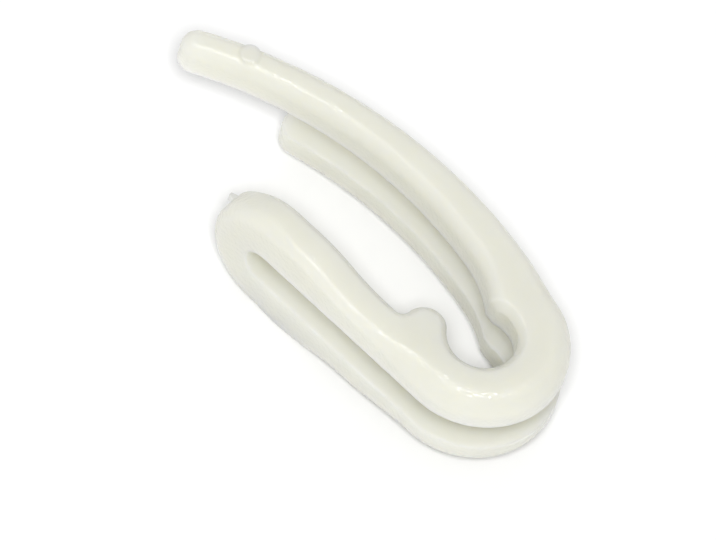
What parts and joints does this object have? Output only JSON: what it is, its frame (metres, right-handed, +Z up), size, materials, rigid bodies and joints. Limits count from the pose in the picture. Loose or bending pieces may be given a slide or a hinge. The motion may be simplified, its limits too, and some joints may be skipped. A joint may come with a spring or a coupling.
{
  "type": "curtain hook",
  "caption": "Moulded nylon curtain hook: a strand folded double at a return loop, with hooked prongs of unequal length, a snap-in seat for the runner's eye and a rounded nub at its mouth.",
  "frame": {"origin": "on the surface that the hook lies on, under the middle of its outline", "axes": "+X along the arm from the prong tips to the bend, +Y from the arm to the prongs, +Z up, across the two strands"},
  "size_m": [0.027, 0.0104, 0.0072],
  "materials": {
    "nylon": "natural, slightly translucent off-white nylon with a satin surface"
  },
  "bodies": {
    "root": {"curtain_hook": "nylon"}
  },
  "joints": []
}
